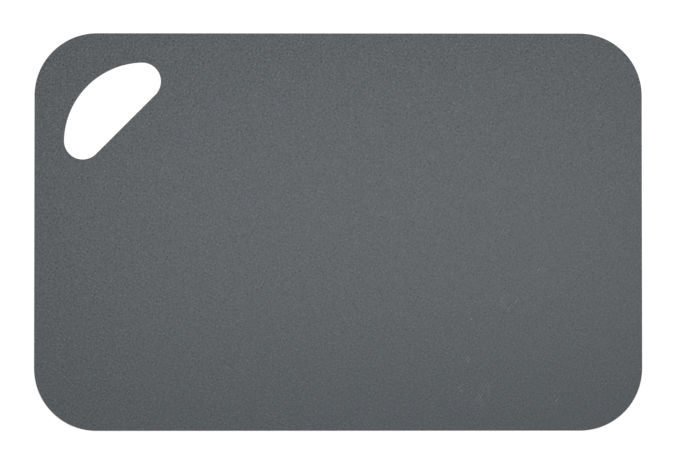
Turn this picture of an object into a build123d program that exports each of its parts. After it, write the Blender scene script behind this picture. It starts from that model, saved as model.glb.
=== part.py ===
from build123d import *
import os

# A flexible kitchen cutting mat: one thin moulded sheet of matt grey plastic with round
# corners and a D-shaped hand hole across one of them.
#
# Millimetres. The mat lies on the XY plane with its underside at Z 0 and its middle over the
# origin. X runs along the long side, Y along the short side, and the hand hole is in the
# corner at low X and high Y. Both faces are alike, so either can be the cutting face.

# The sheet
mat_length = 380.0          # long side
mat_width = 248.5           # short side
mat_thickness = 2.0         # thin enough to be bent into a chute by hand
corner_radius = 39.0        # of the four outer corners
edge_rounding = 0.5         # softens the outer edges on both faces

# The hand hole. Its straight side faces the middle of the mat, and its bowed side, the crown,
# faces the corner. It is the same to both sides of the corner's bisector, so the grip between
# crown and corner suits either hand.
hole_length = 76.0          # four fingers side by side
hole_height = 34.0          # straight side to the top of the crown
hole_end_radius = 11.8      # of the two round ends
hole_setback = 80.6         # from where the mat's edges would meet to the straight side
hole_edge_rounding = 0.5    # softens the hole's edges on both faces


def crown_radius():
    """Radius of the bowed side, which runs smoothly into both round ends."""
    end_offset = hole_length / 2 - hole_end_radius
    end_rise = hole_height - hole_end_radius
    bow = 2 * (hole_height - 2 * hole_end_radius)
    return (end_offset**2 + end_rise**2 - hole_end_radius**2) / bow


def hand_hole_outline():
    """The D: a circle cut off by its straight side, with the two corners rounded.

    The straight side is centred on the origin along X, and the crown is towards +Y.
    """
    radius = crown_radius()
    seam_turn = -90         # puts the circle's start on the part that is cut off
    crown = Pos(0, hole_height - radius) * Rot(0, 0, seam_turn) * Circle(radius)
    beyond_the_side = Rectangle(2 * radius, hole_height, align=(Align.CENTER, Align.MIN))
    cap = crown & beyond_the_side
    return fillet(cap.vertices(), hole_end_radius)


def hand_hole_place():
    """Carries the outline onto the bisector of the corner at low X and high Y."""
    bisector_turn = 45
    edges_meet = Pos(-mat_length / 2, mat_width / 2)
    return edges_meet * Rot(0, 0, bisector_turn) * Pos(0, -hole_setback)


def flat_faces(sheet):
    """The cutting face and the underside."""
    return sheet.faces().filter_by(Axis.Z)


def soften_outline(sheet):
    """Rounds the outer edges of both faces."""
    edges = [edge for face in flat_faces(sheet) for edge in face.outer_wire().edges()]
    return fillet(edges, edge_rounding)


def soften_hand_hole(sheet):
    """Rounds the hole's edges on both faces, where the fingers bear."""
    wires = [wire for face in flat_faces(sheet) for wire in face.inner_wires()]
    edges = [edge for wire in wires for edge in wire.edges()]
    return fillet(edges, hole_edge_rounding)


def cutting_mat():
    """The blank sheet with softened edges, and the hand hole cut through and softened."""
    blank = extrude(RectangleRounded(mat_length, mat_width, corner_radius), mat_thickness)
    hand_hole = extrude(hand_hole_place() * hand_hole_outline(), mat_thickness)
    return soften_hand_hole(soften_outline(blank) - hand_hole)


os.makedirs("parts", exist_ok=True)
export_step(cutting_mat(), "parts/cutting_mat.step")
print(f"hand hole: crown radius {crown_radius():.1f} mm")
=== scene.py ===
import math

import bmesh
import bpy
from mathutils import Matrix, Vector


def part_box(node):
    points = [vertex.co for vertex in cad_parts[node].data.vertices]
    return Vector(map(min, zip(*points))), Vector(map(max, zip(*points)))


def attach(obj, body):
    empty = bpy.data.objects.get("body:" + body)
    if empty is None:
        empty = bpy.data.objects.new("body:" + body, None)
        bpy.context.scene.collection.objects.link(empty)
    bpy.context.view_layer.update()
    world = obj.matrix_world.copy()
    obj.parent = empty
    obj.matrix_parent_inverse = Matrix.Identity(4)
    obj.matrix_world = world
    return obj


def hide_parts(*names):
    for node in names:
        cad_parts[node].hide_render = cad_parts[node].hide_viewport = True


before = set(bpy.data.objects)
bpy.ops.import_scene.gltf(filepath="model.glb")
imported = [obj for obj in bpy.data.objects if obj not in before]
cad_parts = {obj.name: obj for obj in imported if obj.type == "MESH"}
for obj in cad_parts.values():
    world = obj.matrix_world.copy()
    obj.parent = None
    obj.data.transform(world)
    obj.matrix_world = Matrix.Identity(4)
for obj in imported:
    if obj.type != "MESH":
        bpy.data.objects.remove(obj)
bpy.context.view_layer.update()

# A flexible kitchen cutting mat: one thin moulded sheet of matt grey plastic, with round
# corners and a D-shaped hand hole across one of them. Metres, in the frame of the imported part.

# ---------------------------------------------------------------- sizes
mat_low, mat_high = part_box("cutting_mat")
mat_length, mat_width, mat_thickness = mat_high - mat_low
corner_radius = 0.039
edge_rounding = 0.0005

hole_length = 0.076
hole_height = 0.034             # straight side to the top of the crown
hole_end_radius = 0.0118
hole_setback = 0.0806           # from where the mat's edges would meet to the straight side
hole_turn = math.radians(45)    # the hole lies square to the corner's bisector

# How finely the mesh follows the curves: straight edges in each arc
corner_steps = 32
end_steps = 28
crown_steps = 40
rounding_steps = 6
rim_strip = 0.0015              # plain border of the faces, along every edge
cell_size = 0.0125              # of the faces' inner cells
sharp_angle = math.radians(60)  # between two faces, past which their edge is a rim

# ---------------------------------------------------------------- finish
plastic_colour = (0.0803, 0.0910, 0.0996)
plastic_gloss = 0.25            # share of a full reflection, as the shader counts it
plastic_roughness = 0.31

# The moulded grain, in four layers: how far apart a layer's bumps are, how their pattern is turned, how
# deep they are, and how much of the grain's grey lightens their tops and darkens their pits. On the
# pebbles that tone is painted highlight on the tops and painted shade in the pits. On the mottle and the
# clouds it is a tone that differs at random.
grain = {
    "skin": {"size": 0.0005, "turn": math.radians(47), "depth": 0.00003, "tone": 0.0},
    "pebbles": {"size": 0.0012, "turn": math.radians(28), "depth": 0.00004, "tone": 0.405},
    "mottle": {"size": 0.0045, "turn": math.radians(63), "depth": 0.0, "tone": 0.051},
    "clouds": {"size": 0.0120, "turn": math.radians(11), "depth": 0.0, "tone": 0.03},
}
# The grain's grey carries both the random tone of the mottle and clouds and the painted shade and
# highlight of the pebbles.
grain_and_shade_grey = (0.0865, 0.0900, 0.0935)  # added to the plastic's colour at a tone of 1
grain_detail = 1.0              # times that each bump carries bumps of half its size
grain_detail_share = 0.35       # how high those are against the bump itself
# In the colour, the furthest tops are painted glints and the deepest pits are painted shade.
grain_and_glint_peaks = 2.2               # how much further the highest tops and deepest pits go
grain_and_glint_lean = 0.45               # how much further the tops go than the pits
# In the colour, this rise is painted raking light: the grain's painted shade and highlight grow towards
# the hole's corner, and its bumps grow with them.
grain_and_rake_rise = (-0.75, 2.1, 0)    # how much more it shows per metre: most at the hole's corner
mottle_gloss = -0.03            # roughness per height of the mottle: its tops are glossier

# Wear on the cutting face: where each mark is, along X and Y, and how far it reaches.
specks = [(-0.0631, -0.0581, 0.0011), (-0.0565, -0.0388, 0.0009), (0.0453, -0.0357, 0.0009)]
nicks = [
    (-0.0912, 0.0821, 0.0010), (-0.0612, 0.0727, 0.0008), (-0.0849, 0.0046, 0.0009),
    (-0.0124, 0.0252, 0.0008), (0.0832, -0.0548, 0.0009), (0.0432, 0.0790, 0.0008),
    (0.0769, -0.0992, 0.0010),
]
scuffs = [
    (0.0926, -0.0979, 0.0070), (0.0888, -0.1048, 0.0065), (0.0760, -0.0979, 0.0040),
    (0.0813, -0.0798, 0.0040), (0.1019, -0.0435, 0.0055), (0.1107, -0.0423, 0.0038),
    (0.1060, -0.0476, 0.0042), (0.1269, -0.0235, 0.0048), (0.1363, -0.1054, 0.0035),
]

# Tone at the middle of a mark, as in the grain's layers: above 0 it is lighter.
speck_tone = -0.7
nick_tone = 0.9
scuff_tone = 0.7                # in its scratches

# The scratches of the scuffs lie in rows that are broken at random.
scratch_angle = math.radians(55)
scratch_length = 0.0035
scratch_spacing = 0.0016        # from one row to the next
scratch_waver = 1.5             # how far the rows stray from a straight line
scratch_gaps = (0.34, 0.54)     # random values: a row is broken below the first, whole above
scratch_edges = (0.2, 1.0)      # heights in a row's wave where a scratch begins and is full
scratch_ground = -0.12          # level between the scratches, which have a level of 1
row_scale = math.pi / 10        # puts the crests of the shader's waves 1 apart

# ---------------------------------------------------------------- studio
view_width = 0.42505            # what the picture's width takes in, at the cutting face
camera_aim = (0.0010, -0.0001)  # the point of the mat in the middle of the picture
camera_tilt = (math.radians(0.55), math.radians(-0.28), 0)  # from looking straight down
camera_lens = 85.0
camera_sensor = 36.0

softbox_place = (0.030, 0.044, 0.47)
softbox_size = (0.62, 0.285)
softbox_radiance = 2.4
room_level = 0.5                # light from the white room around the mat
floor_size = 6.0
floor_grey = 0.8
floor_roughness = 0.9

# The floor's glow is what the camera sees of it beyond its own colour. Away from the lamp it
# rises, so that the floor stays white.
glow_reach = (0.2, 1.0)         # from the mat's middle: where it starts to rise and where it ends
glow_level = (0.50, 0.62)       # at those places


# ================================================================ the mat

def crown_radius():
    """Radius of the hole's bowed side, which runs smoothly into both round ends."""
    end_offset = hole_length / 2 - hole_end_radius
    end_rise = hole_height - hole_end_radius
    bow = 2 * (hole_height - 2 * hole_end_radius)
    return (end_offset**2 + end_rise**2 - hole_end_radius**2) / bow


def arc(bm, start, centre, angle, steps):
    """Carries a vertex clockwise about a centre and returns the vertex at the arc's end."""
    swept = bmesh.ops.spin(
        bm, geom=[start], cent=centre, axis=(0, 0, -1), angle=angle, steps=steps
    )
    return next(item for item in swept["geom_last"] if isinstance(item, bmesh.types.BMVert))


def add_outer_edge(bm):
    """The round-cornered rectangle, as a loop of edges."""
    bmesh.ops.create_grid(bm, x_segments=1, y_segments=1, size=0.5)
    bmesh.ops.scale(bm, vec=(mat_length, mat_width, 1), verts=bm.verts[:])
    bmesh.ops.bevel(
        bm, geom=bm.verts[:], offset=corner_radius, offset_type="OFFSET",
        segments=corner_steps, profile=0.5, affect="VERTICES", material=-1,
    )
    bmesh.ops.delete(bm, geom=bm.faces[:], context="FACES_ONLY")


def add_hole_edge(bm):
    """The D, as a loop of edges: one end, the crown, the other end and the straight side."""
    end_offset = hole_length / 2 - hole_end_radius
    crown_centre = Vector((0, hole_height - crown_radius(), 0))
    half_crown = math.atan2(end_offset, hole_end_radius - crown_centre.y)
    end_turn = math.pi - half_crown
    first = bm.verts.new((-end_offset, 0, 0))
    before = set(bm.verts) - {first}
    tip = arc(bm, first, (-end_offset, hole_end_radius, 0), end_turn, end_steps)
    tip = arc(bm, tip, crown_centre, 2 * half_crown, crown_steps)
    last = arc(bm, tip, (end_offset, hole_end_radius, 0), end_turn, end_steps)
    bm.edges.new((last, first))
    edges_meet = Matrix.Translation((-mat_length / 2, mat_width / 2, 0))
    turn = Matrix.Rotation(hole_turn, 4, "Z")
    setback = Matrix.Translation((0, -hole_setback, 0))
    hole = [vert for vert in bm.verts if vert not in before]
    bmesh.ops.transform(bm, matrix=edges_meet @ turn @ setback, verts=hole)


def cut_lines(length):
    """Places that divide a length, centred on 0, into equal cells."""
    cells = round(length / cell_size)
    return [length * (i / cells - 0.5) for i in range(1, cells)]


def along_line(edge, axis, place):
    """Whether an edge lies on a cut."""
    slack = 1e-6
    return all(abs(vert.co[axis] - place) < slack for vert in edge.verts)


def cut_into_cells(bm):
    """Divides the flat face by straight lines both ways, and clears the edges between them."""
    lines = [(0, place) for place in cut_lines(mat_length)]
    lines += [(1, place) for place in cut_lines(mat_width)]
    for axis, place in lines:
        normal = Vector((0, 0, 0))
        normal[axis] = 1
        bmesh.ops.bisect_plane(
            bm, geom=bm.verts[:] + bm.edges[:] + bm.faces[:], plane_co=normal * place,
            plane_no=normal,
        )
    slanted = [
        edge for edge in bm.edges
        if not edge.is_boundary and not any(along_line(edge, *line) for line in lines)
    ]
    bmesh.ops.dissolve_edges(bm, edges=slanted, use_verts=False)
    idle = [vert for vert in bm.verts if len(vert.link_edges) == 2 and not vert.is_boundary]
    bmesh.ops.dissolve_verts(bm, verts=idle)


def raise_sheet(bm):
    """Gives the flat face its thickness and rounds the edges of both faces."""
    raised = bmesh.ops.extrude_face_region(bm, geom=bm.faces[:], use_keep_orig=True)
    top = [item for item in raised["geom"] if isinstance(item, bmesh.types.BMVert)]
    bmesh.ops.translate(bm, vec=(0, 0, mat_thickness), verts=top)
    bmesh.ops.recalc_face_normals(bm, faces=bm.faces[:])
    rims = [edge for edge in bm.edges if edge.calc_face_angle(0) > sharp_angle]
    bmesh.ops.bevel(
        bm, geom=rims, offset=edge_rounding, offset_type="OFFSET",
        segments=rounding_steps, profile=0.5, affect="EDGES", material=-1,
    )


def build_mat():
    """The sheet, its faces in even cells and its edges rounded."""
    bm = bmesh.new()
    add_outer_edge(bm)
    add_hole_edge(bm)
    bmesh.ops.triangle_fill(bm, edges=bm.edges[:], use_beauty=True)
    cut_into_cells(bm)
    bmesh.ops.inset_region(
        bm, faces=bm.faces[:], thickness=rim_strip, use_boundary=True, use_even_offset=True
    )
    raise_sheet(bm)
    middle = (mat_low + mat_high) / 2
    bmesh.ops.translate(bm, vec=(middle.x, middle.y, mat_low.z), verts=bm.verts[:])
    mesh = bpy.data.meshes.new("mat_sheet")
    bm.to_mesh(mesh)
    bm.free()
    mesh.shade_smooth()
    mat = bpy.data.objects.new("mat_sheet", mesh)
    mat.modifiers.new("flat up to the rims", "WEIGHTED_NORMAL")
    bpy.context.collection.objects.link(mat)
    return mat


# ================================================================ materials

def add(tree, kind, label="", **inputs):
    """A new node with values for its inputs, an underscore standing for a space."""
    node = tree.nodes.new(kind)
    node.label = label
    for name, value in inputs.items():
        node.inputs[name.replace("_", " ")].default_value = value
    return node


def maths(tree, operation, *values):
    """A Math node on sockets or numbers."""
    node = add(tree, "ShaderNodeMath")
    node.operation = operation
    for slot, value in zip(node.inputs, values):
        if isinstance(value, bpy.types.NodeSocket):
            tree.links.new(value, slot)
        else:
            slot.default_value = value
    return node.outputs[0]


def new_group(name, inputs, outputs):
    """An empty shader node group with named sockets, and its two ends."""
    group = bpy.data.node_groups.new(name, "ShaderNodeTree")
    for label, kind in inputs:
        group.interface.new_socket(label, in_out="INPUT", socket_type=kind)
    for label, kind in outputs:
        group.interface.new_socket(label, in_out="OUTPUT", socket_type=kind)
    return group, group.nodes.new("NodeGroupInput"), group.nodes.new("NodeGroupOutput")


def grain_group():
    """Random moulded bumps of a stated size, from below 0 in the pits to above 0 on the tops."""
    group, ends, result = new_group(
        "moulded_grain",
        [("Position", "NodeSocketVector"), ("Size", "NodeSocketFloat"), ("Turn", "NodeSocketFloat")],
        [("Height", "NodeSocketFloat")],
    )
    turned = add(group, "ShaderNodeVectorRotate")
    turned.rotation_type = "Z_AXIS"
    group.links.new(ends.outputs["Position"], turned.inputs["Vector"])
    group.links.new(ends.outputs["Turn"], turned.inputs["Angle"])
    noise = add(
        group, "ShaderNodeTexNoise", Detail=grain_detail, Roughness=grain_detail_share
    )
    noise.noise_dimensions = "2D"
    group.links.new(turned.outputs["Vector"], noise.inputs["Vector"])
    group.links.new(maths(group, "DIVIDE", 1.0, ends.outputs["Size"]), noise.inputs["Scale"])
    height = maths(group, "MULTIPLY_ADD", noise.outputs["Fac"], 2.0, -1.0)
    steepness = maths(group, "MULTIPLY_ADD", height, grain_and_glint_peaks, grain_and_glint_lean)
    steepness = maths(group, "MULTIPLY_ADD", height, steepness, 1.0)
    group.links.new(maths(group, "MULTIPLY", height, steepness), result.inputs["Height"])
    return group


def mark_group():
    """A round mark on the cutting face: 1 at its centre, fading to 0 at its reach."""
    group, ends, result = new_group(
        "mark",
        [("Position", "NodeSocketVector"), ("Centre", "NodeSocketVector"), ("Reach", "NodeSocketFloat")],
        [("Mask", "NodeSocketFloat")],
    )
    away = add(group, "ShaderNodeVectorMath")
    away.operation = "DISTANCE"
    group.links.new(ends.outputs["Position"], away.inputs[0])
    group.links.new(ends.outputs["Centre"], away.inputs[1])
    share = maths(group, "DIVIDE", away.outputs["Value"], ends.outputs["Reach"])
    fade = add(group, "ShaderNodeMapRange", To_Min=1.0, To_Max=0.0)
    fade.interpolation_type = "SMOOTHSTEP"
    group.links.new(share, fade.inputs["Value"])
    group.links.new(fade.outputs["Result"], result.inputs["Mask"])
    return group


def place_group(tree, group, position, **inputs):
    """One use of a group in a material, with its own values."""
    node = add(tree, "ShaderNodeGroup")
    node.node_tree = group
    for name, value in inputs.items():
        node.inputs[name].default_value = value
    tree.links.new(position, node.inputs["Position"])
    return node.outputs[0]


def weighted_sum(tree, values, weights):
    """The values, each times its weight, added up."""
    total = 0.0
    for value, weight in zip(values, weights):
        total = maths(tree, "MULTIPLY_ADD", value, weight, total)
    return total


def marks(tree, group, position, places):
    """Masks of round marks at stated places, added up."""
    masks = [
        place_group(tree, group, position, Centre=(x, y, mat_high.z), Reach=reach)
        for x, y, reach in places
    ]
    return weighted_sum(tree, masks, [1.0] * len(masks))


def scratches(tree, position):
    """Scratches in broken rows over the whole mat: 1 in one, scratch_ground between them."""
    lie = add(
        tree, "ShaderNodeMapping", "along the scratches",
        Rotation=(0, 0, scratch_angle), Scale=(scratch_length, scratch_spacing, 1),
    )
    lie.vector_type = "TEXTURE"
    tree.links.new(position, lie.inputs["Vector"])
    rows = add(tree, "ShaderNodeTexWave", Scale=row_scale, Distortion=scratch_waver, Detail=0.0)
    rows.bands_direction = "Y"
    tree.links.new(lie.outputs["Vector"], rows.inputs["Vector"])
    breaks = add(tree, "ShaderNodeTexNoise", Scale=1.0, Detail=0.0)
    breaks.noise_dimensions = "2D"
    tree.links.new(lie.outputs["Vector"], breaks.inputs["Vector"])
    whole = add(tree, "ShaderNodeMapRange", From_Min=scratch_gaps[0], From_Max=scratch_gaps[1])
    tree.links.new(breaks.outputs["Fac"], whole.inputs["Value"])
    row = maths(tree, "MULTIPLY", rows.outputs["Fac"], whole.outputs["Result"])
    cut = add(
        tree, "ShaderNodeMapRange",
        From_Min=scratch_edges[0], From_Max=scratch_edges[1], To_Min=scratch_ground, To_Max=1.0,
    )
    tree.links.new(row, cut.inputs["Value"])
    return cut.outputs["Result"]


def above_middle(tree, position):
    """Height over the middle of the sheet's thickness."""
    place = add(tree, "ShaderNodeSeparateXYZ")
    tree.links.new(position, place.inputs["Vector"])
    return maths(tree, "SUBTRACT", place.outputs["Z"], (mat_low.z + mat_high.z) / 2)


def face_share(tree, height):
    """1 at the height of a face, falling to 0 where its rim has turned into the wall."""
    share = add(
        tree, "ShaderNodeMapRange",
        From_Min=mat_thickness / 2 - edge_rounding, From_Max=mat_thickness / 2,
    )
    tree.links.new(height, share.inputs["Value"])
    return share.outputs["Result"]


def grain_and_rake_strength(tree, position, height):
    """How much the grain shows, in its bumps and in its painted shade and highlight: most at the hole's
    corner, as under a raking light from there, and none on the wall.
    """
    rise = add(tree, "ShaderNodeVectorMath", "towards the hole")
    rise.operation = "DOT_PRODUCT"
    rise.inputs[1].default_value = grain_and_rake_rise
    tree.links.new(position, rise.inputs[0])
    slope = maths(tree, "ADD", rise.outputs["Value"], 1.0)
    return maths(tree, "MULTIPLY", slope, face_share(tree, maths(tree, "ABSOLUTE", height)))


def wear(tree, position, height):
    """Tone of the specks, nicks and scuffs on the cutting face: above 0 where lighter."""
    mark = mark_group()
    scratched = maths(
        tree, "MULTIPLY", marks(tree, mark, position, scuffs), scratches(tree, position)
    )
    worn = weighted_sum(
        tree,
        [marks(tree, mark, position, specks), marks(tree, mark, position, nicks), scratched],
        [speck_tone, nick_tone, scuff_tone],
    )
    return maths(tree, "MULTIPLY", worn, face_share(tree, height))


def mat_plastic():
    """Matt grey plastic with a fine moulded grain, whose colour carries painted shade in the pits and
    painted highlight on the tops, and light wear on the cutting face.
    """
    material = bpy.data.materials.new("mat_plastic")
    material.use_nodes = True
    tree = material.node_tree
    shader = tree.nodes["Principled BSDF"]
    position = add(tree, "ShaderNodeTexCoord").outputs["Object"]
    group = grain_group()
    layers = {
        name: place_group(tree, group, position, Size=layer["size"], Turn=layer["turn"])
        for name, layer in grain.items()
    }
    height = above_middle(tree, position)
    strength = grain_and_rake_strength(tree, position, height)
    # The grain's tone: random tone from the mottle and clouds, painted shade in the pebbles' pits and
    # painted highlight on their tops.
    grain_and_shade_tone = weighted_sum(tree, layers.values(), [layer["tone"] for layer in grain.values()])
    tone = maths(tree, "MULTIPLY_ADD", grain_and_shade_tone, strength, wear(tree, position, height))
    colour = add(tree, "ShaderNodeVectorMath", "toned plastic")
    colour.operation = "MULTIPLY_ADD"
    tree.links.new(tone, colour.inputs[0])
    colour.inputs[1].default_value = grain_and_shade_grey
    colour.inputs[2].default_value = plastic_colour
    tree.links.new(colour.outputs["Vector"], shader.inputs["Base Color"])
    rough = maths(tree, "MULTIPLY_ADD", layers["mottle"], mottle_gloss, plastic_roughness)
    tree.links.new(rough, shader.inputs["Roughness"])
    relief = weighted_sum(tree, layers.values(), [layer["depth"] for layer in grain.values()])
    bump = add(tree, "ShaderNodeBump", Strength=1.0, Distance=1.0)
    tree.links.new(maths(tree, "MULTIPLY", relief, strength), bump.inputs["Height"])
    tree.links.new(bump.outputs["Normal"], shader.inputs["Normal"])
    shader.inputs["Specular IOR Level"].default_value = plastic_gloss
    return material


# ================================================================ the studio

def seen_share(tree):
    """1 where the camera, a reflection or a clear piece looks, and 0 for light on the mat."""
    path = add(tree, "ShaderNodeLightPath")
    seen = maths(tree, "MAXIMUM", path.outputs["Is Camera Ray"], path.outputs["Is Glossy Ray"])
    return maths(tree, "MAXIMUM", seen, path.outputs["Is Transmission Ray"])


def floor_glow(tree):
    """What makes up, away from the lamp, for the light that the floor doesn't get there."""
    away = add(tree, "ShaderNodeVectorMath")
    away.operation = "LENGTH"
    tree.links.new(add(tree, "ShaderNodeTexCoord").outputs["Object"], away.inputs[0])
    glow = add(
        tree, "ShaderNodeMapRange",
        From_Min=glow_reach[0], From_Max=glow_reach[1],
        To_Min=glow_level[0], To_Max=glow_level[1],
    )
    tree.links.new(away.outputs["Value"], glow.inputs["Value"])
    return glow.outputs["Result"]


def pale_floor():
    """Plain matt floor that the camera sees as white, with the mat's shadow on it."""
    material = bpy.data.materials.new("pale_floor")
    material.use_nodes = True
    tree = material.node_tree
    shader = tree.nodes["Principled BSDF"]
    shader.inputs["Base Color"].default_value = (floor_grey, floor_grey, floor_grey, 1)
    shader.inputs["Roughness"].default_value = floor_roughness
    shader.inputs["Specular IOR Level"].default_value = 0.0
    shader.inputs["Emission Color"].default_value = (1, 1, 1, 1)
    glow = maths(tree, "MULTIPLY", seen_share(tree), floor_glow(tree))
    tree.links.new(glow, shader.inputs["Emission Strength"])
    return material


def build_floor():
    """The floor that the mat lies on."""
    bm = bmesh.new()
    bmesh.ops.create_grid(bm, x_segments=1, y_segments=1, size=floor_size / 2)
    mesh = bpy.data.meshes.new("floor")
    bm.to_mesh(mesh)
    bm.free()
    mesh.materials.append(pale_floor())
    floor = bpy.data.objects.new("floor", mesh)
    bpy.context.collection.objects.link(floor)


def build_room():
    """An even white room, seen as white and lighting the mat at room_level."""
    world = bpy.data.worlds.new("white_room")
    bpy.context.scene.world = world
    world.use_nodes = True
    tree = world.node_tree
    background = tree.nodes["Background"]
    background.inputs["Color"].default_value = (1, 1, 1, 1)
    level = maths(tree, "MULTIPLY_ADD", seen_share(tree), 1 - room_level, room_level)
    tree.links.new(level, background.inputs["Strength"])


def build_softbox():
    """A softbox level above the mat, facing down."""
    light = bpy.data.lights.new("softbox", "AREA")
    light.shape = "RECTANGLE"
    light.size, light.size_y = softbox_size
    light.energy = softbox_radiance * math.pi * softbox_size[0] * softbox_size[1]
    softbox = bpy.data.objects.new("softbox", light)
    softbox.location = softbox_place
    softbox.visible_camera = False
    bpy.context.collection.objects.link(softbox)


def build_camera():
    """Looks almost straight down, with the mat's long side level."""
    camera = bpy.data.cameras.new("camera")
    camera.lens = camera_lens
    camera.sensor_width = camera_sensor
    seat = bpy.data.objects.new("camera", camera)
    seat.rotation_euler = camera_tilt
    look = seat.rotation_euler.to_matrix() @ Vector((0, 0, -1))
    distance = view_width * camera_lens / camera_sensor
    seat.location = Vector((*camera_aim, mat_high.z)) - look * distance
    bpy.context.collection.objects.link(seat)
    bpy.context.scene.camera = seat


# ================================================================ the scene

mat = build_mat()
mat.data.materials.append(mat_plastic())
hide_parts("cutting_mat")
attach(mat, "root")

build_floor()
build_room()
build_softbox()
build_camera()
bpy.context.scene.view_settings.view_transform = "Standard"
